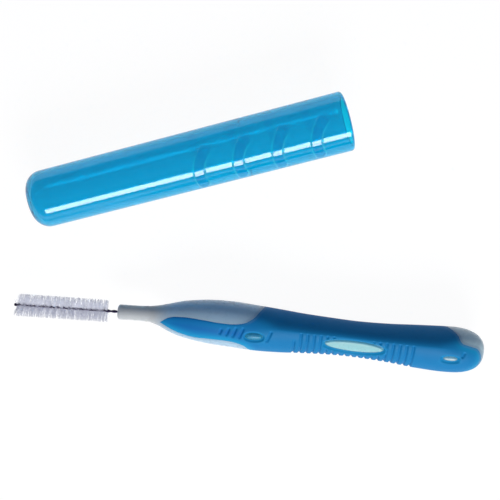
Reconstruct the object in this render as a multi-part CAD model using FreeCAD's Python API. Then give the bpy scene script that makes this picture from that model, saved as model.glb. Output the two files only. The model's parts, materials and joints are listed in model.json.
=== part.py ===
import FreeCAD, Part
import math
import os

# Interdental brush with its travel cap drawn off and laid beside it.
# A twisted wire holds the filaments and is set in the collar of a hard core, a soft grip is moulded
# over the core, and the cap is a tinted tube with a seat for the handle in its mouth.
# Lengths are in millimetres. The brush is built along X on its wire axis, with the back of the handle
# towards +Y and the flanks towards +Z and -Z. The cap is built along X, with its mouth at the origin.
# Both are then laid on the XY plane, +Z up, with the origin under the middle of the set.

# Handle
handle_length = 73.45  # from the face of the collar to the end of the handle
grip_depth = 9.1  # back to belly at the thickest place
grip_width = 10.2  # flank to flank at the widest place
collar_length = 6.5
collar_diameter = 3.0
collar_edge_round = 0.5
neck_diameter = 3.2  # where the handle starts to swell behind its collar
neck_overlap = 1.0  # how far the collar runs on inside the neck
grip_wall = 0.9  # thickness of the soft grip over the core
tail_fullness = 2.6  # of the superellipse that closes the blunt end
back_fullness = 2.3
belly_fullness = 1.85
crease_rise_share = 0.055  # of the local depth, from the middle up to the widest line
section_points = 12
core_sides = 8  # flats of the core where the grip hides it
# Each station: along the handle, back above the wire axis, belly below it, half width.
# The first is a share of handle_length, the next two of grip_depth, the last of half of grip_width.
station_shares = (
    (0.116, 0.214, 0.256, 0.430),
    (0.146, 0.275, 0.371, 0.600),
    (0.181, 0.344, 0.461, 0.755),
    (0.243, 0.402, 0.549, 0.920),
    (0.309, 0.405, 0.597, 0.990),
    (0.375, 0.360, 0.640, 1.000),
    (0.442, 0.306, 0.646, 0.970),
    (0.508, 0.247, 0.628, 0.920),
    (0.591, 0.193, 0.620, 0.865),
    (0.657, 0.160, 0.640, 0.855),
    (0.739, 0.154, 0.697, 0.885),
    (0.821, 0.174, 0.776, 0.950),
    (0.903, 0.187, 0.819, 0.990),
)
tail_shares = (0.3, 0.52, 0.7, 0.83, 0.92, 0.97, 0.993)

# Edge of the soft grip, seen on the flank: shares of handle_length and of grip_depth
tongue_back_shares = (
    (0.1165, -0.155),
    (0.141, -0.030),
    (0.180, 0.012),
    (0.225, -0.008),
    (0.285, -0.054),
    (0.326, -0.052),
    (0.352, 0.002),
    (0.371, 0.105),
    (0.388, 0.260),
    (0.410, 0.420),
)
tongue_belly_shares = (
    (0.370, -0.700),
    (0.350, -0.550),
    (0.320, -0.470),
    (0.265, -0.437),
    (0.205, -0.420),
    (0.150, -0.292),
    (0.1165, -0.155),
)
tail_patch_shares = (
    (0.880, 0.280),
    (0.9175, 0.034),
    (0.927, -0.118),
    (0.950, -0.181),
    (0.973, -0.240),
    (0.984, -0.362),
    (0.9876, -0.500),
    (0.980, -0.662),
    (0.955, -0.880),
)

# Windows in the grip, where bosses of the core show
front_window_length = 3.4
front_window_height = 1.46
front_window_rim = 0.45  # ledge of the grip round the boss
middle_window_length = 11.6
middle_window_height = 2.3
middle_window_rim = 0.45
middle_window_frame = 0.55  # smooth border round the window, clear of grooves
rear_window_length = 2.6
rear_window_height = 0.85
rear_window_rim = 0.6
well_depth = 0.4  # from the surface of the grip to the ledges
boss_depth = 0.15  # from the surface of the grip to the top of a boss
boss_root = 1.2  # from the middle plane to where a boss starts
front_window_shares = (0.3737, -0.316)
middle_window_shares = (0.6436, -0.395)
rear_window_shares = (0.9012, -0.505)
middle_window_tilt_deg = -3.0

# Grooves between the finger ridges
groove_width = 0.55
groove_depth = 0.3
ridge_pitch = 1.3
belly_groove_count = 19
belly_groove_start_share = 0.482  # of handle_length
leaning_groove_deg = -20.0
leaning_groove_width = 0.5
# Each leaning groove: along, height of its middle and length, as shares of handle_length and grip_depth
leaning_groove_shares = (
    (0.2835, -0.250, 0.155),
    (0.3025, -0.250, 0.200),
    (0.3205, -0.256, 0.250),
    (0.339, -0.264, 0.270),
    (0.414, -0.296, 0.295),
    (0.934, -0.391, 0.165),
)

# Twisted wire and filaments
wire_diameter = 0.25
filament_diameter = 0.1
filament_clearance = 0.03  # from a filament to the wire each side of it
twist_pitch = 2.6  # one whole turn of the pair of wires
twist_ease = 0.8  # where the twist starts, behind the fold at the tip
twist_sections = 8  # in one turn
fold_sections = 6
wire_sides = 8
brush_length = 18.2
brush_diameter = 4.6
brush_gap = 2.1  # bare wire from the collar to the first filament
wire_tip = 0.3  # bare wire past the last filament, up to the fold
wire_anchor = 5.0  # length set in the collar
wire_fit = 0.04  # from the stem to the bore of the collar
brush_turns = 7
filaments_per_turn = 20
filament_sides = 6

# Cap
cap_length = 65.3
cap_mouth_diameter = 12.1
cap_end_diameter = 11.4
cap_end_round = 3.4
cap_lip_round = 0.5
seat_diameter = 10.7
seat_depth = 21.0
seat_step = 0.25  # length of the cone between the seat and the chamber
chamber_diameter = 10.2
cap_end_wall = 1.0
rib_height = 0.25
rib_width = 2.4
rib_length = 9.3  # from end to end of the bow
rib_bow = 5.5  # radius of the bow that a rib follows
rib_lean_deg = 15.0
rib_turn_deg = 24.0  # from the top of the cap down to the middle of a rib
rib_pitch = 7.85
rib_count = 4
rib_from_mouth = 7.3
rib_sides = 2

# How the set lies: the collar's face from the cap's mouth, and the turn of the brush
lay_along = -53.9
lay_across = -25.5
lay_turn_deg = -18.42

overrun = 2.0  # how far cutters pass the surface that they cut

vector = FreeCAD.Vector
stem_offset = wire_diameter / 2 + filament_diameter / 2 + filament_clearance
stem_radius = stem_offset + wire_diameter / 2
brush_end = -brush_gap - brush_length
fold_place = brush_end - wire_tip


def outline_points(count, along, back, belly, half_width):
    """Points round the handle at one place: a full back and a leaner belly, widest at the crease."""
    crease = (back - belly) / 2 + crease_rise_share * (back + belly)
    points = []
    for index in range(count):
        angle = math.pi / 2 + 2 * math.pi * index / count
        across = math.cos(angle)
        up = math.sin(angle)
        power = 2 / (back_fullness if up >= 0 else belly_fullness)
        reach = back - crease if up >= 0 else belly + crease
        height = crease + math.copysign(reach * abs(up) ** power, up)
        points.append(vector(along, height, math.copysign(half_width * abs(across) ** power, across)))
    return points


def section(along, back, belly, half_width):
    """One smooth cross-section of the handle."""
    points = outline_points(section_points, along, back, belly, half_width)
    even = [float(step) for step in range(section_points + 1)]
    curve = Part.BSplineCurve()
    curve.interpolate(Points=points, PeriodicFlag=True, Parameters=even)
    return Part.Wire([curve.toShape()])


def stations():
    """The neck and the handle's stations in millimetres: along, back, belly, half width."""
    rows = [(collar_length, neck_diameter / 2, neck_diameter / 2, neck_diameter / 2)]
    for along, back, belly, half in station_shares:
        rows.append((along * handle_length, back * grip_depth, belly * grip_depth, half * grip_width / 2))
    return rows


def sizes_at(along):
    """Back, belly and half width at a place along the handle, on smooth curves through the stations."""
    rows = stations()
    last = len(rows) - 1
    tail = (along - rows[last][0]) / (handle_length - rows[last][0])
    if tail > 0:
        return tail_sizes(tail, 0.0)[1:]
    place = max(index for index in range(last) if rows[index][0] <= along)
    before, after = rows[place], rows[place + 1]
    span = after[0] - before[0]
    share = (along - before[0]) / span
    sizes = []
    for column in range(1, len(before)):
        slopes = []
        for index in (place, place + 1):
            low, high = rows[max(index - 1, 0)], rows[min(index + 1, last)]
            slopes.append(0.0 if index == last else (high[column] - low[column]) / (high[0] - low[0]) * span)
        rise = after[column] - before[column]
        bend = slopes[0] + slopes[1] - 2 * rise
        ease = rise - slopes[0] - bend
        sizes.append(before[column] + share * (slopes[0] + share * (ease + share * bend)))
    return sizes


def tail_sizes(share, inset):
    """Place, back, belly and half width at a share of the blunt end, drawn in by the inset."""
    start, back, belly, half = stations()[-1]
    middle = (back - belly) / 2
    closing = (1 - share**tail_fullness) ** (1 / tail_fullness)
    reach = ((back + belly) / 2 - inset) * closing
    along = start + share * (handle_length - start - inset)
    return along, middle + reach, reach - middle, (half - inset) * closing


def handle_sizes(inset):
    """The handle's stations and its blunt end, drawn in by the inset on every side."""
    rows = [(along, *[size - inset for size in sizes]) for along, *sizes in stations()]
    return rows + [tail_sizes(share, inset) for share in tail_shares]


def handle_form(inset):
    """The handle behind its collar, smooth, drawn in by the inset."""
    return Part.makeLoft([section(*row) for row in handle_sizes(inset)], True, False)


def core_form():
    """The core where the grip hides it, in flats between every other station."""
    wires = []
    for row in handle_sizes(grip_wall)[::2]:
        points = outline_points(core_sides, *row)
        wires.append(Part.makePolygon(points + points[:1]))
    return Part.makeLoft(wires, True, True)


def crease_height(along):
    """Height of the handle's widest line at a place along it."""
    back, belly, _ = sizes_at(along)
    return (back - belly) / 2 + crease_rise_share * (back + belly)


def groove_floor(along):
    """The short length of handle that a groove at this place leaves standing."""
    sizes = [size - groove_depth for size in sizes_at(along)]
    return Part.Face(section(along - ridge_pitch, *sizes)).extrude(vector(2 * ridge_pitch, 0, 0))


def on_flank(shares):
    """A place on the flank from its shares of the handle's length and depth."""
    return vector(shares[0] * handle_length, shares[1] * grip_depth, 0)


def through_width(wire):
    """A cutter with this outline on the flank, right through the handle."""
    face = Part.Face(wire)
    reach = grip_width / 2 + overrun
    face.translate(vector(0, 0, -reach))
    return face.extrude(vector(0, 0, 2 * reach))


def from_flanks(wire):
    """A pair of cutters with this outline, one in from each flank."""
    reach = grip_width / 2 + overrun - boss_root
    near = Part.Face(wire)
    far = near.copy()
    near.translate(vector(0, 0, boss_root))
    far.translate(vector(0, 0, -boss_root))
    return Part.makeCompound([near.extrude(vector(0, 0, reach)), far.extrude(vector(0, 0, -reach))])


def spline_edge(shares):
    curve = Part.BSplineCurve()
    curve.interpolate([on_flank(pair) for pair in shares])
    return curve.toShape()


def oval(shares, length, height, margin, tilt_deg=0.0):
    """An ellipse on the flank, grown by the margin."""
    centre = on_flank(shares)
    ellipse = Part.Wire([Part.Ellipse(vector(0, 0, 0), length / 2 + margin, height / 2 + margin).toShape()])
    ellipse.rotate(vector(0, 0, 0), vector(0, 0, 1), tilt_deg)
    ellipse.translate(centre)
    return ellipse


def slot(centre, length, width, lean_deg):
    """A strip with round ends, standing across the handle and leaning by an angle."""
    half = width / 2
    reach = length / 2 - half
    top_left = vector(-half, reach, 0)
    top_right = vector(half, reach, 0)
    bottom_right = vector(half, -reach, 0)
    bottom_left = vector(-half, -reach, 0)
    edges = [
        Part.Arc(top_left, vector(0, reach + half, 0), top_right).toShape(),
        Part.LineSegment(top_right, bottom_right).toShape(),
        Part.Arc(bottom_right, vector(0, -reach - half, 0), bottom_left).toShape(),
        Part.LineSegment(bottom_left, top_left).toShape(),
    ]
    wire = Part.Wire(edges)
    wire.rotate(vector(0, 0, 0), vector(0, 0, 1), lean_deg)
    wire.translate(centre)
    return wire


def grip_outline():
    """Where the soft grip covers the core, seen on the flank."""
    back = spline_edge(tongue_back_shares)
    tail = spline_edge(tail_patch_shares)
    belly = spline_edge(tongue_belly_shares)
    above = grip_depth + overrun
    back_exit = on_flank(tongue_back_shares[-1])
    tail_start = on_flank(tail_patch_shares[0])
    tail_exit = on_flank(tail_patch_shares[-1])
    belly_start = on_flank(tongue_belly_shares[0])
    over = [vector(back_exit.x, above, 0), vector(tail_start.x, above, 0)]
    under = [vector(tail_exit.x, -above, 0), vector(belly_start.x, -above, 0)]
    corners = [[back_exit, *over, tail_start], [tail_exit, *under, belly_start]]
    lines = [Part.makePolygon(run).Edges for run in corners]
    return Part.Wire([back, *lines[0], tail, *lines[1], belly])


def windows():
    """Each window of the grip: place, length, height, rim, tilt."""
    front = (front_window_shares, front_window_length, front_window_height, front_window_rim, 0.0)
    middle_size = (middle_window_length, middle_window_height, middle_window_rim)
    rear = (rear_window_shares, rear_window_length, rear_window_height, rear_window_rim, 0.0)
    return front, (middle_window_shares, *middle_size, middle_window_tilt_deg), rear


def belly_grooves():
    """The grooves that run under the belly from crease to crease, clear of the middle window."""
    size = (middle_window_length, middle_window_height)
    frame = through_width(oval(middle_window_shares, *size, middle_window_frame, middle_window_tilt_deg))
    low = -grip_depth - overrun
    cutters = []
    for index in range(belly_groove_count):
        along = belly_groove_start_share * handle_length + index * ridge_pitch
        top = crease_height(along)
        strip = slot(vector(along, (top + low) / 2, 0), top - low, groove_width, 0.0)
        pieces_cut = through_width(strip).cut([groove_floor(along), frame]).Solids
        # the window leaves no room for a groove above its middle
        cutters += [piece for piece in pieces_cut if piece.BoundBox.YLength > groove_width]
    return cutters


def leaning_grooves():
    """The short leaning grooves beside the front and rear windows."""
    cutters = []
    for along, height, length in leaning_groove_shares:
        centre = on_flank((along, height))
        strip = slot(centre, length * grip_depth, leaning_groove_width, leaning_groove_deg)
        cutters.append(through_width(strip).cut(groove_floor(centre.x)))
    return cutters


def collar():
    """The collar that holds the wire, with a rounded front edge."""
    post = Part.makeCylinder(
        collar_diameter / 2, collar_length + neck_overlap, vector(0, 0, 0), vector(1, 0, 0)
    )
    front = [edge for edge in post.Edges if edge.BoundBox.XMax < collar_length / 2]
    return post.makeFillet(collar_edge_round, front)


def handle():
    """The hard core and the soft grip moulded over it."""
    form = handle_form(0.0)
    whole = collar().fuse(form)
    under_grip = core_form()
    shell = form.common(through_width(grip_outline())).cut(under_grip)
    core = whole.cut(shell)
    grip = shell
    ledge = handle_form(well_depth)
    boss_top = handle_form(boss_depth)
    for shares, length, height, rim, tilt in windows():
        hole = from_flanks(oval(shares, length, height, 0.0, tilt))
        well = from_flanks(oval(shares, length, height, rim, tilt))
        core = core.fuse(boss_top.common(hole))
        grip = grip.cut(hole).cut(well.cut(ledge))
    grip = grip.cut(belly_grooves()).cut(leaning_grooves())
    bore_length = wire_anchor + wire_fit
    bore = Part.makeCylinder(stem_radius + wire_fit, bore_length, vector(0, 0, 0), vector(1, 0, 0))
    return core.cut(bore), grip


def twist(along):
    """Turn of the pair of wires at a place along the stem, easing in behind the fold."""
    run = along - fold_place
    rate = 2 * math.pi / twist_pitch
    return rate * (run - twist_ease / 2) if run > twist_ease else rate * run**2 / (2 * twist_ease)


def wire_ring(centre, side):
    """The wire's outline round a point of its path, with this way across it and Z the other."""
    corners = []
    for index in range(wire_sides + 1):
        turn = 2 * math.pi * index / wire_sides
        spoke = side * math.cos(turn) + vector(0, 0, 1) * math.sin(turn)
        corners.append(centre + spoke * (wire_diameter / 2))
    return Part.makePolygon(corners)


def wire_stem():
    """One wire folded in half at the tip and twisted, from its first end in the collar to the other."""
    reach = wire_anchor - fold_place
    count = math.ceil(reach / twist_pitch * twist_sections)
    across = vector(0, 1, 0)
    legs = []
    for phase in (0.0, math.pi):
        rings = []
        for index in range(count + 1):
            along = fold_place + reach * index / count
            angle = twist(along) + phase
            centre = vector(along, stem_offset * math.cos(angle), stem_offset * math.sin(angle))
            rings.append(wire_ring(centre, across * math.cos(phase)))
        legs.append(rings)
    fold = []
    for index in range(1, fold_sections):
        angle = math.pi * index / fold_sections
        way = vector(-math.sin(angle), math.cos(angle), 0)
        fold.append(wire_ring(vector(fold_place, 0, 0) + way * stem_offset, way))
    return Part.makeLoft(legs[0][::-1] + fold + legs[1], True, True)


def filament(along):
    """One filament, gripped between the wires and standing out on both sides of the stem."""
    angle = twist(along) + math.pi / 2
    reach = brush_diameter / 2
    way = vector(0, math.cos(angle), math.sin(angle))
    side = vector(1, 0, 0)
    rise = way.cross(side)
    start = vector(along, 0, 0) - way * reach
    corners = []
    for index in range(filament_sides + 1):
        turn = 2 * math.pi * index / filament_sides
        corners.append(start + (side * math.cos(turn) + rise * math.sin(turn)) * (filament_diameter / 2))
    return Part.Face(Part.makePolygon(corners)).extrude(way * (2 * reach))


def bristle_turn(number):
    """The filaments in one turn of the wire, counted from the collar."""
    spacing = brush_length / brush_turns / filaments_per_turn
    first = (number * filaments_per_turn + 1 / 2) * spacing
    places = [-brush_gap - first - index * spacing for index in range(filaments_per_turn)]
    return Part.makeCompound([filament(place) for place in places])


def cap_blank(growth):
    """The cap's tapered outside, grown by the height of a rib or by nothing."""
    mouth = cap_mouth_diameter / 2 + growth
    end = cap_end_diameter / 2 + growth
    return Part.makeCone(mouth, end, cap_length, vector(0, 0, 0), vector(-1, 0, 0))


def bowed_strip():
    """The outline of a rib laid flat: a bowed strip with round ends, its hollow side towards +X."""
    half = rib_width / 2
    reach = math.asin((rib_length / 2 - half) / rib_bow)
    centre = vector(rib_bow, 0, 0)

    def bow(radius, turn):
        return centre + vector(-math.cos(turn), math.sin(turn), 0) * radius

    def end(turn):
        return bow(rib_bow, turn) + vector(math.sin(abs(turn)), math.copysign(math.cos(turn), turn), 0) * half

    outer, inner = rib_bow + half, rib_bow - half
    edges = [
        Part.Arc(bow(outer, -reach), bow(outer, 0.0), bow(outer, reach)).toShape(),
        Part.Arc(bow(outer, reach), end(reach), bow(inner, reach)).toShape(),
        Part.Arc(bow(inner, reach), bow(inner, 0.0), bow(inner, -reach)).toShape(),
        Part.Arc(bow(inner, -reach), end(-reach), bow(outer, -reach)).toShape(),
    ]
    return Part.Wire(edges)


def cap_rib(number, side):
    """One raised grip rib, a bowed strip that leans towards the mouth."""
    wire = bowed_strip()
    wire.rotate(vector(0, 0, 0), vector(0, 0, 1), -rib_lean_deg)
    block = Part.Face(wire).extrude(vector(0, 0, cap_mouth_diameter))
    block.translate(vector(-rib_from_mouth - number * rib_pitch, 0, 0))
    turn = rib_turn_deg + side * 360 / rib_sides
    block.rotate(vector(0, 0, 0), vector(1, 0, 0), turn)
    return cap_blank(rib_height).common(block)


def cap():
    """The tinted cap: a blind tapered tube with a wider seat in its mouth."""
    blank = cap_blank(0.0)
    end_edges = [edge for edge in blank.Edges if edge.BoundBox.XMax < -cap_length / 2]
    blank = blank.makeFillet(cap_end_round, end_edges)
    lip_edges = [edge for edge in blank.Edges if edge.BoundBox.XMin > -cap_length / 2 and edge.Closed]
    blank = blank.makeFillet(cap_lip_round, lip_edges)
    blank = blank.fuse([cap_rib(number, side) for number in range(rib_count) for side in range(rib_sides)])
    back = vector(-1, 0, 0)
    seat = Part.makeCylinder(seat_diameter / 2, seat_depth, vector(0, 0, 0), back)
    step = Part.makeCone(seat_diameter / 2, chamber_diameter / 2, seat_step, back * seat_depth, back)
    depth = cap_length - cap_end_wall - seat_depth - seat_step
    chamber = Part.makeCylinder(chamber_diameter / 2, depth, back * (seat_depth + seat_step), back)
    far = [edge for edge in chamber.Edges if edge.BoundBox.XMax < -cap_length / 2]
    chamber = chamber.makeFillet(cap_end_round - cap_end_wall, far)
    return blank.cut([seat, step, chamber])


def laid_cap(shape):
    """The cap on its side, with its tapered wall flat on the surface."""
    laid = shape.copy()
    taper = math.degrees(math.atan2(cap_mouth_diameter - cap_end_diameter, 2 * cap_length))
    laid.rotate(vector(0, 0, 0), vector(0, 1, 0), -taper)
    laid.translate(vector(0, 0, -laid.optimalBoundingBox().ZMin))
    return laid


def laid_brush(shape):
    """A piece of the brush on its flank, turned and placed from the cap's mouth."""
    laid = shape.copy()
    laid.rotate(vector(0, 0, 0), vector(0, 0, 1), lay_turn_deg)
    laid.translate(vector(lay_along, lay_across, grip_width / 2))
    return laid


def pieces():
    """Every node of the set, laid on the surface with the origin under its middle."""
    core, grip = handle()
    nodes = {"handle_core": core, "grip_sleeve": grip, "wire_stem": wire_stem()}
    for number in range(brush_turns):
        nodes[f"bristle_turn_{number + 1}"] = bristle_turn(number)
    laid = {name: laid_brush(shape) for name, shape in nodes.items()}
    laid["cap"] = laid_cap(cap())
    box = Part.makeCompound(list(laid.values())).optimalBoundingBox()
    for shape in laid.values():
        shape.translate(vector(-(box.XMin + box.XMax) / 2, -(box.YMin + box.YMax) / 2, 0))
    return laid


os.makedirs("parts", exist_ok=True)
for name, shape in pieces().items():
    shape.exportStep(f"parts/{name}.step")
    solids = shape.Solids
    volume = sum(solid.Volume for solid in solids)
    print(name, len(solids), "solids", round(volume, 3), "mm3", "valid" if shape.isValid() else "NOT VALID")
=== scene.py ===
import json
import math
import random

import bpy
import numpy as np
from mathutils import Matrix, Vector


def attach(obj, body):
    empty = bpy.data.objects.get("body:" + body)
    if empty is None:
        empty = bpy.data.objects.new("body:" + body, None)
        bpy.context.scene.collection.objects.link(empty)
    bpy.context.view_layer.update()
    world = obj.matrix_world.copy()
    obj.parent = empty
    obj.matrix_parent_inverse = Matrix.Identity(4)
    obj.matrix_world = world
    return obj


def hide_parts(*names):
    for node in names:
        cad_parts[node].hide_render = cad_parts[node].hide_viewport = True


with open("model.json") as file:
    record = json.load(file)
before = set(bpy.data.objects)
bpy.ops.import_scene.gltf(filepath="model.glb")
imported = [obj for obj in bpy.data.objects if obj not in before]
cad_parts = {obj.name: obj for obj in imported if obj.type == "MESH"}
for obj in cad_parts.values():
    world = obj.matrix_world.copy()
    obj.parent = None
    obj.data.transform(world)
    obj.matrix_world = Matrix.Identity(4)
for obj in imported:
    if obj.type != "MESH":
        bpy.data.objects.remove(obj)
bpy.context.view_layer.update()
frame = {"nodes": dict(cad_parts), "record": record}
print("frame loaded:", len(frame["nodes"]), "nodes")

# the pieces are in millimetres and degrees, the studio in metres
perMetre = 1000
layout = {
    "brushTurn": -18.42,  # about Z
    "collarFromMouth": (-53.9, -25.5),
    "brushAxisHeight": 5.1,
}
seatMount = next(mount for mount in frame["record"]["mounts"] if mount["name"] == "cap_seat")
seatDepth = seatMount["dims"]["length_mm"]
capAxis = np.array(seatMount["axis"])
capMouth = np.array(seatMount["pos_m"]) * perMetre + capAxis * seatDepth / 2


def brushToRow(points):
    turn = math.radians(layout["brushTurn"])
    cosine, sine = math.cos(turn), math.sin(turn)
    spin = np.array([[cosine, -sine, 0], [sine, cosine, 0], [0, 0, 1]])
    along, across = layout["collarFromMouth"]
    base = np.array([capMouth[0] + along, capMouth[1] + across, layout["brushAxisHeight"]])
    return (points @ spin.T + base) / perMetre


def capToRow(points):
    side = np.array([0, 1, 0])
    up = np.cross(capAxis, side)
    return (points @ np.array([capAxis, side, up]) + capMouth) / perMetre


def meshObject(name, points, faces, body, nodes):
    mesh = bpy.data.meshes.new(name)
    mesh.from_pydata(points.tolist(), [], faces)
    mesh.polygons.foreach_set("use_smooth", [True] * len(mesh.polygons))
    mesh.update()
    piece = bpy.data.objects.new(name, mesh)
    bpy.context.scene.collection.objects.link(piece)
    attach(piece, body)
    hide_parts(*nodes)
    return piece


def paintTint(piece, colors):
    layer = piece.data.attributes.new("tint", "FLOAT_COLOR", "POINT")
    layer.data.foreach_set("color", np.column_stack([colors, np.ones(len(colors))]).ravel())


def smooth(low, high, value):
    share = np.clip((value - low) / (high - low), 0, 1)
    return share * share * (3 - 2 * share)


def hump(away, reach):
    return np.exp(-((away / reach) ** 2))


def blendTint(colors, tint, share):
    return colors + (np.array(tint) - colors) * np.clip(share, 0, 1)[:, None]


def curvePoint(first, last, start, end, share):
    # a smooth way from first to last, with a slope at each
    rise = last - first
    bend = start + end - 2 * rise
    return first + share * (start + share * (rise - start - bend + share * bend))


def gridFaces(rows, columns):
    ring = np.arange(columns)
    ahead = np.roll(ring, -1)
    quads = [
        np.stack([row * columns + ahead, row * columns + ring,
                  (row + 1) * columns + ring, (row + 1) * columns + ahead], 1)
        for row in range(rows - 1)
    ]
    return np.concatenate(quads)


# handle: the stations are along, back, belly and half width
handle = {
    "length": 73.45,
    "depth": 9.1,
    "width": 10.2,
    "collarLength": 6.5,
    "collarRadius": 1.5,
    "collarBlend": 2.5,
    "neckRadius": 1.6,
    "swellBlend": 3.0,
    "boreRadius": 0.37,
    "edgeRound": 0.5,
    "backFullness": 2.3,
    "bellyFullness": 1.85,
    "waistFullness": (1.6, 1.5),  # a crisper crease along the waist, back and belly
    "waist": ((27, 33), (63, 69)),  # where that crease comes in and goes out
    "tailFullness": 2.6,
    "creaseRise": 0.055,
    "stations": (
        (0.116, 0.214, 0.256, 0.430), (0.146, 0.275, 0.371, 0.600), (0.181, 0.344, 0.461, 0.755),
        (0.243, 0.402, 0.549, 0.920), (0.309, 0.405, 0.597, 0.990), (0.375, 0.360, 0.640, 1.000),
        (0.442, 0.306, 0.646, 0.970), (0.508, 0.247, 0.628, 0.920), (0.591, 0.193, 0.620, 0.865),
        (0.657, 0.160, 0.640, 0.855), (0.739, 0.154, 0.697, 0.885), (0.821, 0.174, 0.776, 0.950),
        (0.903, 0.187, 0.819, 0.990),
    ),
}
neck = [handle["collarLength"]] + [handle["neckRadius"]] * 3
reachOf = np.array([handle["length"], handle["depth"], handle["depth"], handle["width"] / 2])
stations = np.vstack([neck, np.array(handle["stations"]) * reachOf])
tailStart = stations[-1]
tailMiddle = (tailStart[1] - tailStart[2]) / 2


def handleSizes(along):
    # smooth curves through the stations, and the collar in front of them
    place, values = stations[:, 0], stations[:, 1:]
    slopes = np.zeros_like(values)
    slopes[1:-1] = (values[2:] - values[:-2]) / (place[2:] - place[:-2])[:, None]
    slopes[0] = (values[1] - values[0]) / (place[1] - place[0])
    index = np.clip(np.searchsorted(place, along, side="right") - 1, 0, len(place) - 2)
    span = (place[index + 1] - place[index])[:, None]
    share = np.clip((along - place[index])[:, None] / span, 0, 1)
    start, end = slopes[index] * span, slopes[index + 1] * span
    sizes = curvePoint(values[index], values[index + 1], start, end, share)
    collarEnd = handle["collarLength"]
    swelling = smooth(collarEnd - handle["collarBlend"], collarEnd, along)[:, None]
    return handle["collarRadius"] * (1 - swelling) + sizes * swelling


def handleRows(first, step, tailRows):
    along = np.arange(first, tailStart[0], step)
    body = np.column_stack([along, handleSizes(along)])
    angle = np.linspace(0, math.pi / 2, tailRows + 1)[:-1]
    power = 2 / handle["tailFullness"]
    closing = np.cos(angle) ** power
    place = tailStart[0] + np.sin(angle) ** power * (handle["length"] - tailStart[0])
    reach = (tailStart[1] + tailStart[2]) / 2 * closing
    tail = np.column_stack([place, tailMiddle + reach, reach - tailMiddle, tailStart[3] * closing])
    return np.vstack([body, tail])


def creaseOf(back, belly):
    return (back - belly) / 2 + handle["creaseRise"] * (back + belly)


def handleGrid(rows, columns):
    along, back, belly, half = (rows[:, [index]] for index in range(4))
    angle = math.pi / 2 + 2 * math.pi * np.arange(columns)[None, :] / columns
    up, across = np.sin(angle), np.cos(angle)
    swell = smooth(handle["collarLength"], handle["collarLength"] + handle["swellBlend"], along)
    comesIn, goesOut = handle["waist"]
    waist = smooth(*comesIn, along) * (1 - smooth(*goesOut, along))
    plain = (handle["backFullness"], handle["bellyFullness"])
    backFull, bellyFull = (
        full + (lean - full) * waist for full, lean in zip(plain, handle["waistFullness"])
    )
    power = 1 + (2 / np.where(up >= 0, backFull, bellyFull) - 1) * swell
    crease = creaseOf(back, belly) * swell + (back - belly) / 2 * (1 - swell)
    reach = np.where(up >= 0, back - crease, belly + crease)
    height = crease + np.sign(up) * reach * np.abs(up) ** power
    width = half * np.sign(across) * np.abs(across) ** power
    return np.stack([np.broadcast_to(along, height.shape), height, width], 2)


def gridNormals(grid):
    lengthwise = np.gradient(grid, axis=0)
    wrapped = np.concatenate([grid[:, -1:], grid, grid[:, :1]], 1)
    normals = np.cross(lengthwise, wrapped[:, 2:] - wrapped[:, :-2])
    return normals / np.maximum(np.linalg.norm(normals, axis=2, keepdims=True), 1e-9)


# soft grip over the core: outline and windows are shares of the handle's length and depth
grip = {
    "tongueBack": ((0.1165, -0.155), (0.141, -0.030), (0.180, 0.012), (0.225, -0.008),
                   (0.285, -0.054), (0.326, -0.052), (0.352, 0.002), (0.371, 0.105),
                   (0.388, 0.260), (0.410, 0.420)),
    "tongueBelly": ((0.370, -0.700), (0.350, -0.550), (0.320, -0.470), (0.265, -0.437),
                    (0.205, -0.420), (0.150, -0.292), (0.1165, -0.155)),
    "tailPatch": ((0.880, 0.280), (0.9175, 0.034), (0.927, -0.118), (0.950, -0.181),
                  (0.973, -0.240), (0.984, -0.362), (0.9876, -0.500), (0.980, -0.662),
                  (0.955, -0.880)),
    "outlineReach": 1.3,  # the outline closes clear of the back and the belly
    "windows": (
        {"place": (0.3737, -0.316), "length": 3.4, "height": 1.46, "rim": 0.45, "tilt": 0.0},
        {"place": (0.6436, -0.395), "length": 11.6, "height": 2.3, "rim": 0.45, "tilt": -3.0},
        {"place": (0.9012, -0.505), "length": 2.6, "height": 0.85, "rim": 0.6, "tilt": 0.0},
    ),
    "wellDepth": 0.4,
    "wellFloor": 0.3,  # share of the rim
    "bossDepth": 0.15,
    "seamDepth": 0.06,
    "seamWidth": 0.16,
    "firstRow": 0.11,
    "rowStep": 0.1,
    "tailRows": 70,
    "columns": 300,
    "skirt": 0.5,
    "bodyTint": (0.008, 0.222, 0.505),
    "thinTint": (0.010, 0.360, 0.660),  # thin rubber over the pale core, and painted light along the low edges that face the lamp
    "thinEdge": (0.9, 1.1),  # share and reach
    "thinRim": (0.5, 0.5),
    "lowFlank": (0.5, -2.5),
    "tongueTint": (0.006, 0.165, 0.480),
    "tongueFade": (24, 30),
    "featherTint": (0.100, 0.280, 0.520),  # where the grip runs out on the back
    "featherMix": 0.5,
    "feather": 0.7,
    "featherFull": 0.3,
    "featherUp": (-1.2, 0.4),
    "featherFront": (23.5, 26.5),
    "featherTail": (60, 62),
}
ridges = {
    "pitch": 1.3,
    "count": 19,
    "start": 0.482,
    "width": 0.78,
    "depth": 0.3,
    "firstUnder": (-1.4, -2.4),  # the first one is only under the belly
    "windowFrame": 0.55,
    "frameFade": (0.6, 1.3),
    "nubClear": 3.6,  # no grooves above the middle of the window
    "nubFade": 0.4,
    "slotLean": -20.0,
    "slotWidth": 0.85,
    "slots": ((0.2835, -0.240, 0.180), (0.3025, -0.238, 0.230), (0.3205, -0.243, 0.280),
              (0.339, -0.251, 0.300), (0.414, -0.290, 0.305), (0.934, -0.388, 0.175)),
}


def onFlank(shares):
    return np.array(shares) * np.array([handle["length"], handle["depth"]])


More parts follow.
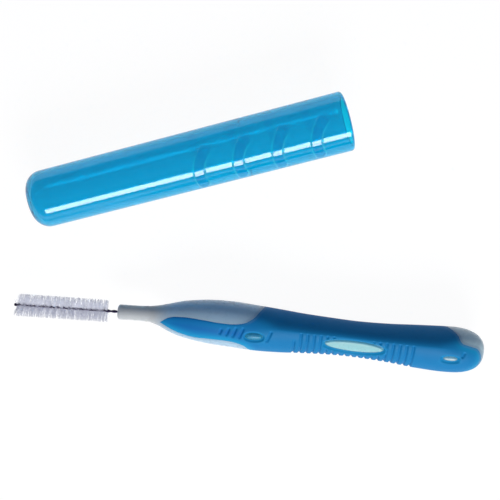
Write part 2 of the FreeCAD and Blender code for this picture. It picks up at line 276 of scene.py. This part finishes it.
def curveThrough(points, steps=8):
    # a smooth line through the points, spaced by their distances
    reach = np.concatenate([[0], np.cumsum(np.linalg.norm(np.diff(points, axis=0), axis=1))])
    slopes = np.gradient(points, reach, axis=0)
    share = np.linspace(0, 1, steps, endpoint=False)[:, None]
    line = []
    for index, span in enumerate(np.diff(reach)):
        start, end = slopes[index] * span, slopes[index + 1] * span
        line.append(curvePoint(points[index], points[index + 1], start, end, share))
    return np.vstack(line + [points[-1:]])


def gripOutline():
    back = curveThrough(onFlank(grip["tongueBack"]))
    tail = curveThrough(onFlank(grip["tailPatch"]))
    belly = curveThrough(onFlank(grip["tongueBelly"]))
    above = handle["depth"] * grip["outlineReach"]
    over = [[back[-1, 0], above], [tail[0, 0], above]]
    under = [[tail[-1, 0], -above], [belly[0, 0], -above]]
    return np.vstack([back, over, tail, under, belly[:-1]])


def outlineDistance(flank, outline):
    # below zero inside the outline
    nearest = np.full(len(flank), np.inf)
    inside = np.zeros(len(flank), bool)
    for start, end in zip(outline, np.roll(outline, -1, axis=0)):
        edge = end - start
        if not edge.any():
            continue
        away = flank - start
        share = np.clip(away @ edge / (edge @ edge), 0, 1)
        nearest = np.minimum(nearest, ((away - share[:, None] * edge) ** 2).sum(1))
        if start[1] != end[1]:
            crosses = (start[1] > flank[:, 1]) != (end[1] > flank[:, 1])
            inside ^= crosses & (away[:, 0] < edge[0] * away[:, 1] / edge[1])
    return np.where(inside, -1, 1) * np.sqrt(nearest)


def featherShare(flank, edge):
    # the grip ends without a line on the back, behind the tongue and before the tail
    front = smooth(*grip["featherUp"], flank[:, 1]) * smooth(*grip["featherFront"], flank[:, 0])
    tail = smooth(*grip["featherTail"], flank[:, 0])
    fade = smooth(grip["featherFull"], 1, np.abs(edge) / grip["feather"])
    return np.maximum(front, tail) * (1 - fade)


def windowPlace(flank, window):
    turn = math.radians(window["tilt"])
    cosine, sine = math.cos(turn), math.sin(turn)
    return (flank - onFlank(window["place"])) @ np.array([[cosine, -sine], [sine, cosine]])


def windowDistance(flank, window):
    place = windowPlace(flank, window)
    radii = np.array([window["length"] / 2, window["height"] / 2])
    ratio = np.linalg.norm(place / radii, axis=1)
    return ratio * (ratio - 1) / np.maximum(np.linalg.norm(place / radii**2, axis=1), 1e-6)


def ridgeDepth(flank):
    # soft round grooves under the belly, and the leaning ones beside the end windows
    sizes = handleSizes(flank[:, 0])
    crease = creaseOf(sizes[:, 0], sizes[:, 1])
    above = np.maximum(flank[:, 1] - crease + ridges["width"] / 2, 0)
    first = ridges["start"] * handle["length"]
    number = np.round((flank[:, 0] - first) / ridges["pitch"])
    number = np.clip(number, 0, ridges["count"] - 1)
    away = np.hypot(flank[:, 0] - first - number * ridges["pitch"], above)
    groove = 1 - smooth(0, ridges["width"] / 2, away)
    groove *= np.where(number == 0, smooth(*ridges["firstUnder"], flank[:, 1] - crease), 1)
    middle = grip["windows"][1]
    near, far = (ridges["windowFrame"] * share for share in ridges["frameFade"])
    groove *= smooth(near, far, windowDistance(flank, middle))
    fromWindow = windowPlace(flank, middle)
    past = np.abs(fromWindow[:, 0]) - ridges["nubClear"]
    clear = smooth(-ridges["nubFade"], ridges["nubFade"], past)
    groove *= np.where(fromWindow[:, 1] > 0, clear, 1)
    lean = math.radians(ridges["slotLean"])
    way = np.array([-math.sin(lean), math.cos(lean)])
    for along, height, length in ridges["slots"]:
        reach = length * handle["depth"] / 2 - ridges["slotWidth"] / 2
        offset = flank - onFlank((along, height))
        run = np.clip(offset @ way, -reach, reach)
        away = np.linalg.norm(offset - run[:, None] * way, axis=1)
        groove = np.maximum(groove, 1 - smooth(0, ridges["slotWidth"] / 2, away))
    return groove * ridges["depth"]


def cutMesh(points, normals, triangles, level):
    # keeps what lies below level zero, with new points on the line itself
    inside = level < 0
    count = inside[triangles].sum(1)
    kept = [triangles[count == 3]]
    mixed = triangles[(count == 1) | (count == 2)]
    held = inside[mixed]
    lone = np.where(held.sum(1)[:, None] == 1, held, ~held).argmax(1)
    mixed = np.take_along_axis(mixed, (lone[:, None] + np.arange(3)) % 3, 1)
    edges = np.concatenate([mixed[:, [0, 1]], mixed[:, [0, 2]]])
    pairs, inverse = np.unique(np.sort(edges, 1), axis=0, return_inverse=True)
    share = (level[pairs[:, 0]] / (level[pairs[:, 0]] - level[pairs[:, 1]]))[:, None]
    newPoints = points[pairs[:, 0]] * (1 - share) + points[pairs[:, 1]] * share
    newNormals = normals[pairs[:, 0]] * (1 - share) + normals[pairs[:, 1]] * share
    newNormals /= np.linalg.norm(newNormals, axis=1, keepdims=True)
    inverse = inverse.ravel() + len(points)
    first, second = inverse[: len(mixed)], inverse[len(mixed):]
    tip = inside[mixed[:, 0]]
    kept.append(np.stack([mixed[tip, 0], first[tip], second[tip]], 1))
    kept.append(np.stack([first[~tip], mixed[~tip, 1], mixed[~tip, 2]], 1))
    kept.append(np.stack([first[~tip], mixed[~tip, 2], second[~tip]], 1))
    rim = np.concatenate([
        np.stack([first[tip], second[tip]], 1),
        np.stack([second[~tip], first[~tip]], 1),
    ])
    triangles = np.concatenate(kept)
    points, normals = np.vstack([points, newPoints]), np.vstack([normals, newNormals])
    used, inverse = np.unique(triangles, return_inverse=True)
    place = np.zeros(len(points), int)
    place[used] = np.arange(len(used))
    return points[used], normals[used], inverse.reshape(-1, 3), place[rim]


def splitQuads(quads):
    return np.concatenate([quads[:, [0, 1, 2]], quads[:, [0, 2, 3]]])


def gripTints(flank, edge, nearWindow, feather):
    # lighter blue edges low on the flank, from thin rubber over the core and painted light from the
    # lamp's side, and a greyer feather where the grip ends on the back
    tints = np.tile(grip["bodyTint"], (len(flank), 1))
    tints = blendTint(tints, grip["tongueTint"], 1 - smooth(*grip["tongueFade"], flank[:, 0]))
    share, reach = grip["thinEdge"]
    # painted light: these lighter edges are kept to the low flank, the side the lamp shines on
    low = smooth(*grip["lowFlank"], flank[:, 1])
    tints = blendTint(tints, grip["thinTint"], share * hump(edge, reach) * low)
    share, reach = grip["thinRim"]
    tints = blendTint(tints, grip["thinTint"], share * hump(nearWindow, reach))
    return blendTint(tints, grip["featherTint"], grip["featherMix"] * feather)


def buildGrip():
    rows = handleRows(handle["length"] * grip["firstRow"], grip["rowStep"], grip["tailRows"])
    grid = handleGrid(rows, grip["columns"])
    points, normals = grid.reshape(-1, 3), gridNormals(grid).reshape(-1, 3)
    triangles = splitQuads(gridFaces(len(rows), grip["columns"]))
    outline = gripOutline()
    level = outlineDistance(points[:, :2], outline)
    for window in grip["windows"]:
        level = np.maximum(level, -windowDistance(points[:, :2], window))
    points, normals, triangles, rim = cutMesh(points, normals, triangles, level)
    flank = points[:, :2]
    sink = ridgeDepth(flank)
    edge = outlineDistance(flank, outline)
    nearWindow = np.full(len(flank), np.inf)
    for window in grip["windows"]:
        away = windowDistance(flank, window)
        nearWindow = np.minimum(nearWindow, away)
        well = 1 - smooth(window["rim"] * grip["wellFloor"], window["rim"], away)
        sink = np.maximum(sink, grip["wellDepth"] * well)
    feather = featherShare(flank, edge)
    sink = sink + grip["seamDepth"] * hump(edge, grip["seamWidth"]) * (1 - feather)
    shown = points - normals * sink[:, None]
    tints = gripTints(flank, edge, nearWindow, feather)
    # a skirt closes the edge down onto the core
    hem, place = np.unique(rim, return_inverse=True)
    place = place.reshape(-1, 2)
    top = len(shown) + place
    under = top + len(hem)
    skirt = np.column_stack([top[:, 1], top[:, 0], under[:, 0], under[:, 1]])
    shown = np.vstack([shown, shown[hem], shown[hem] - normals[hem] * grip["skirt"]])
    faces = triangles.tolist() + skirt.tolist()
    piece = meshObject("gripSleeve", brushToRow(shown), faces, "brush", ["grip_sleeve"])
    paintTint(piece, np.vstack([tints, tints[hem], tints[hem]]))
    return piece


core = {
    "rowStep": 0.16,
    "frontRows": 8,
    "tailRows": 60,
    "columns": 220,
    "boreDepth": 2.0,
    "faceRadius": 0.7,
    "underGrip": 0.7,
    "underFrom": (0.1, 0.7),
    "bossEdge": 0.4,
    "bossFoot": 0.05,
    "bossHold": (0.15, 0.6),
    "dome": 0.12,
    "domedUpTo": 5.0,  # only the short windows
    "collarTint": (0.56, 0.58, 0.575),
    "swellTint": (0.42, 0.61, 0.76),  # the blue grip shines through the milky core
    "swellFade": (0.3, 5),
    # window colours: the front one dark blue, painting the shade of a deep window; the middle one
    # mint where the blue grip shows through; the rear one near white, a painted glint
    "windowTints": ((0.05, 0.29, 0.46), (0.37, 0.69, 0.70), (0.70, 0.97, 1.0)),
    # a dark blue ring at the foot of each boss: the grip's blue around it, and painted shade of the
    # well
    "rimTint": (0.020, 0.300, 0.500),
    "rimMix": 0.8,
    "tailTint": (0.50, 0.69, 0.76),
    "tailFade": (60, 66),
    "featherMix": 0.35,
}


def buildCore():
    turns = np.linspace(0, math.pi / 2, core["frontRows"] + 1)[:-1]
    radius = handle["collarRadius"] - handle["edgeRound"] * (1 - np.sin(turns))
    front = np.column_stack([handle["edgeRound"] * (1 - np.cos(turns))] + [radius] * 3)
    bore = [[core["boreDepth"]] + [handle["boreRadius"]] * 3]
    face = [[0] + [rim] * 3 for rim in (handle["boreRadius"], core["faceRadius"])]
    body = handleRows(handle["edgeRound"], core["rowStep"], core["tailRows"])
    rows = np.vstack([bore, face, front, body])
    grid = handleGrid(rows, core["columns"])
    points, normals = grid.reshape(-1, 3), gridNormals(grid).reshape(-1, 3)
    flank = points[:, :2]
    edge = outlineDistance(flank, gripOutline())
    feather = featherShare(flank, edge)
    seam = hump(np.maximum(edge, 0), grip["seamWidth"]) * (1 - feather)
    sink = grip["seamDepth"] * seam + core["underGrip"] * smooth(*core["underFrom"], -edge)
    behindCollar = flank[:, 0] - handle["collarLength"]
    tints = np.tile(core["collarTint"], (len(flank), 1))
    tints = blendTint(tints, core["swellTint"], smooth(*core["swellFade"], behindCollar))
    tints = blendTint(tints, core["tailTint"], smooth(*core["tailFade"], flank[:, 0]))
    tints = blendTint(tints, grip["featherTint"], core["featherMix"] * feather)
    for window, tint in zip(grip["windows"], core["windowTints"]):
        away = windowDistance(flank, window)
        slope = smooth(-core["bossEdge"], core["bossFoot"], away)
        boss = grip["bossDepth"] + (grip["wellDepth"] - grip["bossDepth"]) * slope
        held = 1 - smooth(*core["bossHold"], away)
        sink = sink * (1 - held) + boss * held
        if window["length"] < core["domedUpTo"]:
            sink = sink - core["dome"] * smooth(0, window["height"] / 2, -away)
        # each window's tint, with the painted shade of the front window and the painted glint of the
        # rear one
        tints = blendTint(tints, tint, held)
        # painted shade, in the grip's blue, at the foot of each boss
        rim = core["rimMix"] * held * smooth(-core["bossEdge"], 0, away)
        tints = blendTint(tints, core["rimTint"], rim)
    sink[behindCollar < 0] = 0
    tip = [[handle["length"], tailMiddle, 0]]
    shown = np.vstack([points - normals * sink[:, None], tip])
    faces = gridFaces(len(rows), core["columns"]).tolist()
    last = (len(rows) - 1) * core["columns"]
    ring = range(core["columns"])
    faces += [[last + (step + 1) % core["columns"], last + step, len(shown) - 1] for step in ring]
    piece = meshObject("handleCore", brushToRow(shown), faces, "brush", ["handle_core"])
    paintTint(piece, np.vstack([tints, tints[-1:]]))
    return piece


handleCore = buildCore()
gripSleeve = buildGrip()
print("handle built:", len(handleCore.data.vertices), "and", len(gripSleeve.data.vertices), "points")


# twisted wire, folded at the tip
wire = {
    "radius": 0.165,
    "offset": 0.14,
    "pitch": 2.6,
    "ease": 0.8,
    "fold": -20.6,
    "anchor": 5.0,
    "stepsPerTurn": 26,
    "foldSteps": 16,
    "sides": 12,
}


def wireTwist(along):
    run = along - wire["fold"]
    rate = 2 * math.pi / wire["pitch"]
    easing = rate * run**2 / (2 * wire["ease"])
    return np.where(run > wire["ease"], rate * (run - wire["ease"] / 2), easing)


def tubeAlong(path, radius, sides):
    way = np.gradient(path, axis=0)
    way /= np.linalg.norm(way, axis=1, keepdims=True)
    side = np.cross(way, [0, 0, 1])
    weak = np.linalg.norm(side, axis=1) < 0.1
    side[weak] = np.cross(way[weak], [1, 0, 0])
    side /= np.linalg.norm(side, axis=1, keepdims=True)
    rise = np.cross(side, way)
    turn = (2 * math.pi * np.arange(sides) / sides)[None, :, None]
    rings = side[:, None] * np.cos(turn) + rise[:, None] * np.sin(turn)
    points = (path[:, None] + rings * radius).reshape(-1, 3)
    ends = [list(range(sides)), list(range(len(points) - sides, len(points)))[::-1]]
    return points, gridFaces(len(path), sides).tolist() + ends


def buildWire():
    reach = wire["anchor"] - wire["fold"]
    steps = int(reach / wire["pitch"] * wire["stepsPerTurn"])
    along = np.linspace(wire["fold"], wire["anchor"], steps)
    offset = wire["offset"]
    legs = []
    for phase in (0, math.pi):
        angle = wireTwist(along) + phase
        legs.append(np.column_stack([along, offset * np.cos(angle), offset * np.sin(angle)]))
    bend = np.linspace(0, math.pi, wire["foldSteps"])[1:-1]
    fold = np.column_stack([wire["fold"] - offset * np.sin(bend), offset * np.cos(bend), 0 * bend])
    path = np.vstack([legs[0][::-1], fold, legs[1]])
    points, faces = tubeAlong(path, wire["radius"], wire["sides"])
    return meshObject("wireStem", brushToRow(points), faces, "brush", ["wire_stem"])


wireStem = buildWire()

bristles = {
    "turns": 7,
    "perTurn": 180,
    "length": 18.2,
    "gap": 2.1,
    "reach": 2.3,
    "radius": 0.034,
    "sides": 5,
    "steps": (0.13, 0.36, 0.7, 1),  # shares of the reach, from beside the wire
    "spread": 60.0,  # either side of the twist
    "lean": 4.0,
    "bend": 1.3,
    "tipLean": 8.0,
    "tipPower": 6,
    "trim": 0.05,
    "seed": 11,
}


def buildBristles(number, chance):
    spacing = bristles["length"] / bristles["turns"]
    points, faces = [], []
    for _ in range(bristles["perTurn"]):
        along = -bristles["gap"] - (number + chance.random()) * spacing
        share = (-along - bristles["gap"]) / bristles["length"]
        base = float(wireTwist(np.array(along))) + math.pi / 2
        for half in (0, math.pi):
            angle = base + half + math.radians(chance.gauss(0, bristles["spread"]))
            out = np.array([0, math.cos(angle), math.sin(angle)])
            tip = bristles["tipLean"] * share ** bristles["tipPower"] * math.cos(angle)
            lean = math.radians(chance.gauss(0, bristles["lean"]) + tip)
            reach = bristles["reach"] * (1 - chance.random() * bristles["trim"])
            slide = np.array([1, 0, 0]) * reach * math.tan(lean)
            path = np.array([
                [along, 0, 0] + out * reach * step + slide * step ** bristles["bend"]
                for step in bristles["steps"]
            ])
            tube, sides = tubeAlong(path, bristles["radius"], bristles["sides"])
            faces += [[corner + len(points) for corner in side] for side in sides]
            points += tube.tolist()
    points = brushToRow(np.array(points))
    nodes = [f"bristle_turn_{number + 1}"]
    return meshObject(f"bristleTurn{number + 1}", points, faces, "brush", nodes)


chance = random.Random(bristles["seed"])
bristleTurns = [buildBristles(number, chance) for number in range(bristles["turns"])]
print("brush head built:", sum(len(turn.data.vertices) for turn in bristleTurns), "points")


# cap: a tapered tube with bowed ribs, and a wider seat in its mouth
cap = {
    "length": 65.3,
    "mouthRadius": 6.05,
    "endRadius": 5.7,
    "endRound": 3.4,
    "lipRound": 0.6,
    "seatRadius": seatMount["dims"]["r_mm"],
    "chamberRadius": 5.1,
    "endWall": 1.0,
    "stepRun": (0.3, 0.22, 0.04),  # the step between chamber and seat
    "stepEase": 0.02,
    "mouthEase": ((0.06, 0.03), (0, 0.08)),  # depth and widening at the brim of the seat
    "innerRings": (0.2, 1.2, 2.2),
    "outerRings": (1.5, 0.2),
    "arcRows": 17,
    "chamberRows": 30,
    "seatRows": 24,
    "plainRows": 40,
    "ribRowStep": 0.12,
    "chamberGap": 1.0,  # from the arc inside the closed end to the next row
    "brimGap": 0.25,
    "lipGap": 0.15,
    "ribGap": 0.4,
    "endGap": 0.2,
    "columns": 320,
    "ribs": 4,
    "ribSides": 2,
    "ribHeight": 0.24,
    "ribWidth": 2.4,
    "ribLength": 9.3,
    "ribBow": 5.5,
    "ribLean": 15.0,
    "ribTurn": 24.0,
    "ribPitch": 7.85,
    "ribFromMouth": 7.3,
    "ribEdge": 0.3,
    "ribRunOut": (3.5, 4.6),  # up from a rib's middle
    "ribRunOutShare": 0.8,
    "ribRimFade": (1.0, 4.2),
    "outerTint": (0.0, 0.570, 0.930),
    "innerTint": (0.30, 0.920, 1.0),
    "ribTint": (1.0, 0.80, 0.91),  # thicker plastic is deeper in colour, and the lighter tint on its rims is a painted highlight
    "ribEdgeTint": (1.0, 1.55, 1.05),
}


def ribLift(along, angle, radius):
    # height of the ribs, and where their rims get a painted highlight
    lift = np.zeros(np.broadcast(along, angle).shape)
    rims = np.zeros_like(lift)
    lean = math.radians(cap["ribLean"])
    bow = cap["ribBow"]
    reach = math.asin((cap["ribLength"] - cap["ribWidth"]) / 2 / bow)
    for side in range(cap["ribSides"]):
        turn = angle - math.radians(cap["ribTurn"] + side * 360 / cap["ribSides"])
        level = -radius * np.sin(turn)
        for number in range(cap["ribs"]):
            offset = along + cap["ribFromMouth"] + number * cap["ribPitch"]
            across = offset * math.cos(lean) - level * math.sin(lean)
            up = offset * math.sin(lean) + level * math.cos(lean)
            swing = np.clip(np.arctan2(up, bow - across), -reach, reach)
            away = np.hypot(across - bow + bow * np.cos(swing), up - bow * np.sin(swing))
            raised = 1 - smooth(-cap["ribEdge"], cap["ribEdge"] / 4, away - cap["ribWidth"] / 2)
            raised = np.where(np.cos(turn) > 0, raised, 0)
            height = raised * (1 - cap["ribRunOutShare"] * smooth(*cap["ribRunOut"], up))
            lift = np.maximum(lift, height * cap["ribHeight"])
            # a painted highlight along the rims, fading out up the rib
            rim = 4 * raised * (1 - raised) * (1 - smooth(*cap["ribRimFade"], up))
            rims = np.maximum(rims, rim)
    return lift, rims


def arcPoints(place, radius, size, turns):
    return [[place + size * math.cos(turn), radius + size * math.sin(turn)] for turn in turns]


def insideProfile():
    # from the closed end to the mouth
    quarter = np.linspace(0, math.pi / 2, cap["arcRows"])
    chamber, seat, ease = cap["chamberRadius"], cap["seatRadius"], cap["stepEase"]
    bend = cap["endRound"] - cap["endWall"]
    deep = -cap["length"] + cap["endWall"]
    chamberEnd, foot, brink = (-seatDepth - run for run in cap["stepRun"])
    profile = [[deep, radius] for radius in cap["innerRings"]]
    profile += arcPoints(deep + bend, chamber - bend, bend, math.pi - quarter)
    rows = np.linspace(deep + bend + cap["chamberGap"], chamberEnd, cap["chamberRows"])
    profile += [[along, chamber] for along in rows]
    profile += [[foot, chamber + ease], [brink, seat - ease]]
    rows = np.linspace(-seatDepth + cap["stepRun"][2], -cap["brimGap"], cap["seatRows"])
    profile += [[along, seat] for along in rows]
    return profile + [[-depth, seat + wider] for depth, wider in cap["mouthEase"]]


def outsideProfile():
    # from the mouth to the closed end
    quarter = np.linspace(0, math.pi / 2, cap["arcRows"])
    mouth, lip, end = cap["mouthRadius"], cap["lipRound"], cap["endRound"]
    taper = (mouth - cap["endRadius"]) / cap["length"]
    bend = -cap["length"] + end
    ribEnd = cap["ribFromMouth"] + cap["ribPitch"] * (cap["ribs"] - 1) + cap["ribLength"]
    profile = [[0, mouth - lip]]
    profile += arcPoints(-lip, mouth - lip, lip, quarter[2::2])
    ribbed = -np.arange(lip + cap["lipGap"], ribEnd, cap["ribRowStep"])
    plain = np.linspace(-ribEnd - cap["ribGap"], bend + cap["endGap"], cap["plainRows"])
    profile += [[along, mouth + taper * along] for along in np.concatenate([ribbed, plain])]
    profile += arcPoints(bend, mouth + taper * bend - end, end, math.pi / 2 + quarter)
    return profile + [[-cap["length"], radius] for radius in cap["outerRings"]]


def buildCap():
    inside, outside = insideProfile(), outsideProfile()
    profile = np.array(inside + outside)
    outer = (np.arange(len(profile)) >= len(inside))[:, None]
    angle = 2 * math.pi * np.arange(cap["columns"])[None, :] / cap["columns"]
    along, radius = profile[:, [0]], profile[:, [1]]
    lift, rims = (share * outer for share in ribLift(along, angle, radius))
    radius = radius + lift
    places = np.broadcast_to(along, radius.shape)
    points = np.stack([places, -radius * np.sin(angle), radius * np.cos(angle)], 2).reshape(-1, 3)
    faces = gridFaces(len(profile), cap["columns"]).tolist()
    last = len(points) - cap["columns"]
    faces += [list(range(cap["columns"])), list(range(last, len(points)))[::-1]]
    piece = meshObject("capTube", capToRow(points), faces, "cap", ["cap"])
    # most of the colour lies on the outer wall, so that the edges keep it too
    walls = np.where(outer, cap["outerTint"], cap["innerTint"])
    tints = np.ones((len(points), 3))
    tints = blendTint(tints, cap["ribTint"], lift.ravel() / cap["ribHeight"])
    # painted highlight on the rib rims
    tints = blendTint(tints, cap["ribEdgeTint"], rims.ravel())
    paintTint(piece, tints * np.repeat(walls, cap["columns"], axis=0))
    return piece


capTube = buildCap()
print("cap built:", len(capTube.data.vertices), "points")


# finishes: colours of the tinted ones multiply the tint painted on the piece
finishes = {
    "milkyCore": {
        "light": (1.04, 1.04, 1.04), "deep": (0.93, 0.94, 0.95), "tinted": True,
        "patch": 120, "grain": 900, "rough": 0.28, "bump": 0.15,
        "sockets": {
            "Subsurface Weight": 0.8,
            "Subsurface Radius": (0.003, 0.003, 0.003),
            "Subsurface Scale": 1.0,
            "Specular IOR Level": 0.25,
        },
    },
    "softBlue": {
        "light": (1.06, 1.05, 1.04), "deep": (0.88, 0.90, 0.92), "tinted": True,
        "patch": 160, "grain": 2600, "rough": 0.5, "bump": 0.35,
        "sockets": {"Specular IOR Level": 0.12},
    },
    "darkWire": {
        "light": (0.060, 0.040, 0.100), "deep": (0.020, 0.014, 0.045), "tinted": False,
        "patch": 900, "grain": 4000, "rough": 0.36, "bump": 0.2,
        "sockets": {"Metallic": 0.9},
    },
    "clearNylon": {
        "light": (0.86, 0.87, 0.94), "deep": (0.78, 0.79, 0.88), "tinted": False,
        "patch": 300, "grain": 700, "rough": 0.35, "bump": 0.1,
        "sockets": {"Alpha": 0.42},
    },
    "tintedCap": {
        "light": (1.0, 1.03, 1.02), "deep": (1.0, 0.96, 0.98), "tinted": True,
        "patch": 60, "grain": 260, "rough": 0.05, "bump": 0.03,
        "sockets": {
            "Transmission Weight": 0.75,
            "IOR": 1.22,
            "Coat Weight": 0.14,
            "Coat IOR": 3.0,
            "Coat Roughness": 0.04,
        },
    },
}
texture = {
    "cloudDetail": 5,
    "grainDetail": 3,
    "roughRange": (0.85, 1.15),
    "reliefDepth": 0.00004,
}


def finishMaterial(name):
    # cloudy colour, fine grain and bump from noise in the object's own space
    look = finishes[name]
    material = bpy.data.materials.new(name)
    material.use_nodes = True
    nodes, links = material.node_tree.nodes, material.node_tree.links
    shader = nodes["Principled BSDF"]
    for socket, value in look["sockets"].items():
        shader.inputs[socket].default_value = value
    place = nodes.new("ShaderNodeTexCoord")
    cloud = nodes.new("ShaderNodeTexNoise")
    cloud.inputs["Scale"].default_value = look["patch"]
    cloud.inputs["Detail"].default_value = texture["cloudDetail"]
    tone = nodes.new("ShaderNodeMix")
    tone.data_type = "RGBA"  # its colour sockets are 6 and 7, and its colour comes out at 2
    tone.inputs[6].default_value = (*look["deep"], 1)
    tone.inputs[7].default_value = (*look["light"], 1)
    grain = nodes.new("ShaderNodeTexNoise")
    grain.inputs["Scale"].default_value = look["grain"]
    grain.inputs["Detail"].default_value = texture["grainDetail"]
    smoothest, roughest = texture["roughRange"]
    rough = nodes.new("ShaderNodeMapRange")
    rough.inputs["To Min"].default_value = look["rough"] * smoothest
    rough.inputs["To Max"].default_value = look["rough"] * roughest
    relief = nodes.new("ShaderNodeBump")
    relief.inputs["Strength"].default_value = look["bump"]
    relief.inputs["Distance"].default_value = texture["reliefDepth"]
    links.new(place.outputs["Object"], cloud.inputs["Vector"])
    links.new(place.outputs["Object"], grain.inputs["Vector"])
    links.new(cloud.outputs["Fac"], tone.inputs[0])
    color = tone.outputs[2]
    if look["tinted"]:
        tint = nodes.new("ShaderNodeAttribute")
        tint.attribute_name = "tint"
        product = nodes.new("ShaderNodeMix")
        product.data_type = "RGBA"
        product.blend_type = "MULTIPLY"
        product.inputs[0].default_value = 1
        links.new(tint.outputs["Color"], product.inputs[6])
        links.new(color, product.inputs[7])
        color = product.outputs[2]
    links.new(color, shader.inputs["Base Color"])
    links.new(grain.outputs["Fac"], rough.inputs["Value"])
    links.new(rough.outputs["Result"], shader.inputs["Roughness"])
    links.new(grain.outputs["Fac"], relief.inputs["Height"])
    links.new(relief.outputs["Normal"], shader.inputs["Normal"])
    return material


milkyCore, softBlue, darkWire, clearNylon, tintedCap = (finishMaterial(name) for name in finishes)
dressed = [
    (handleCore, milkyCore), (gripSleeve, softBlue), (wireStem, darkWire), (capTube, tintedCap),
]
dressed += [(turn, clearNylon) for turn in bristleTurns]
dressed += [(node, darkWire) for node in frame["nodes"].values()]
for piece, material in dressed:
    piece.data.materials.clear()
    piece.data.materials.append(material)
for turn in bristleTurns:
    turn.visible_shadow = False  # fine nylon lets the light through
print("finishes set:", len(bpy.data.materials))


# floor, light and camera
studio = {
    "floorRadius": 1.2,
    "sweepRadius": 0.6,
    "sweepAngle": 60.0,  # the rim of the floor sweeps up behind low views
    "sweepRows": 13,
    "floorSides": 96,
    "floorColor": (0.86, 0.86, 0.86),
    "floorShade": (0.1, 0.1, 0.1),  # the part of the seen floor that takes shadows
    "floorGlow": 0.95,
    "fill": 0.21,
    "fillColor": (0.85, 0.93, 1.2),
    "boxFromZenith": 59.0,  # towards the belly side
    "boxDistance": 0.385,
    "boxAside": -0.015,
    "boxSize": (0.22, 0.125),
    "boxPower": 1.06,
    "cameraHeight": 0.19,
    "frameWidth": 0.100,
    "frameLevel": 0.0055,
    "frameFromMouth": (-0.02522, -0.02011),
    "imageTurn": 14.42,
    "sensorWidth": 36,
    "clipStart": 0.01,
}


def seenShare(nodes, links):
    # one for what is seen straight, in a reflection or through the cap
    path = nodes.new("ShaderNodeLightPath")
    share = path.outputs["Is Camera Ray"]
    for ray in ("Is Glossy Ray", "Is Transmission Ray"):
        larger = nodes.new("ShaderNodeMath")
        larger.operation = "MAXIMUM"
        links.new(share, larger.inputs[0])
        links.new(path.outputs[ray], larger.inputs[1])
        share = larger.outputs[0]
    return share


def floorMaterial():
    material = bpy.data.materials.new("paleFloor")
    material.use_nodes = True
    nodes, links = material.node_tree.nodes, material.node_tree.links
    nodes.remove(nodes["Principled BSDF"])
    matt = nodes.new("ShaderNodeBsdfDiffuse")
    matt.inputs["Color"].default_value = (*studio["floorColor"], 1)
    shade = nodes.new("ShaderNodeBsdfDiffuse")
    shade.inputs["Color"].default_value = (*studio["floorShade"], 1)
    glow = nodes.new("ShaderNodeEmission")
    glow.inputs["Strength"].default_value = studio["floorGlow"]
    pale = nodes.new("ShaderNodeAddShader")
    mix = nodes.new("ShaderNodeMixShader")
    links.new(shade.outputs[0], pale.inputs[0])
    links.new(glow.outputs[0], pale.inputs[1])
    links.new(seenShare(nodes, links), mix.inputs[0])
    links.new(matt.outputs[0], mix.inputs[1])
    links.new(pale.outputs[0], mix.inputs[2])
    links.new(mix.outputs[0], nodes["Material Output"].inputs["Surface"])
    return material


def buildFloor():
    sides = studio["floorSides"]
    sweep = np.radians(np.linspace(0, studio["sweepAngle"], studio["sweepRows"]))[:, None]
    radius = studio["floorRadius"] + studio["sweepRadius"] * np.sin(sweep)
    height = studio["sweepRadius"] * (1 - np.cos(sweep))
    turn = 2 * math.pi * np.arange(sides)[None, :] / sides
    points = np.stack([radius * np.cos(turn), radius * np.sin(turn), height + 0 * turn], 2)
    faces = [list(range(sides))] + gridFaces(len(sweep), sides).tolist()
    mesh = bpy.data.meshes.new("floor")
    mesh.from_pydata(points.reshape(-1, 3).tolist(), [], faces)
    floor = bpy.data.objects.new("floor", mesh)
    bpy.context.scene.collection.objects.link(floor)
    mesh.materials.append(floorMaterial())


def buildWorld():
    world = bpy.data.worlds.new("paleRoom")
    bpy.context.scene.world = world
    world.use_nodes = True
    fill = world.node_tree.nodes["Background"]
    fill.inputs["Strength"].default_value = studio["fill"]
    fill.inputs["Color"].default_value = (*studio["fillColor"], 1)


def buildSoftBox():
    # one long box beside the belly of the handle, at right angles to the cap
    tilt = math.radians(studio["boxFromZenith"])
    back = Vector((0, -math.sin(tilt), math.cos(tilt)))
    capMiddle = Vector(capMouth / perMetre) - Vector(capAxis) * cap["length"] / (2 * perMetre)
    light = bpy.data.lights.new("softBox", "AREA")
    light.shape = "RECTANGLE"
    light.size, light.size_y = studio["boxSize"]
    light.energy = studio["boxPower"]
    lamp = bpy.data.objects.new("softBox", light)
    bpy.context.scene.collection.objects.link(lamp)
    lamp.location = capMiddle + Vector((studio["boxAside"], 0, 0)) + back * studio["boxDistance"]
    lamp.rotation_mode = "QUATERNION"
    side = Vector((1, 0, 0))
    lamp.rotation_quaternion = Matrix((side, back.cross(side), back)).transposed().to_quaternion()


def buildCamera():
    turn = math.radians(studio["imageTurn"])
    right = Vector((math.cos(turn), -math.sin(turn), 0))
    up = Vector((math.sin(turn), math.cos(turn), 0))
    centre = Vector(capMouth / perMetre) + Vector(studio["frameFromMouth"]).to_3d()
    camera = bpy.data.objects.new("photoCamera", bpy.data.cameras.new("photoCamera"))
    bpy.context.scene.collection.objects.link(camera)
    camera.location = (centre.x, centre.y, studio["cameraHeight"] + studio["frameLevel"])
    camera.rotation_mode = "QUATERNION"
    camera.rotation_quaternion = Matrix((right, up, Vector((0, 0, 1)))).transposed().to_quaternion()
    camera.data.sensor_width = studio["sensorWidth"]
    camera.data.lens = studio["sensorWidth"] * studio["cameraHeight"] / studio["frameWidth"]
    camera.data.clip_start = studio["clipStart"]
    bpy.context.scene.camera = camera


buildFloor()
buildWorld()
buildSoftBox()
buildCamera()
bpy.context.scene.view_settings.view_transform = "Standard"
print("studio set")
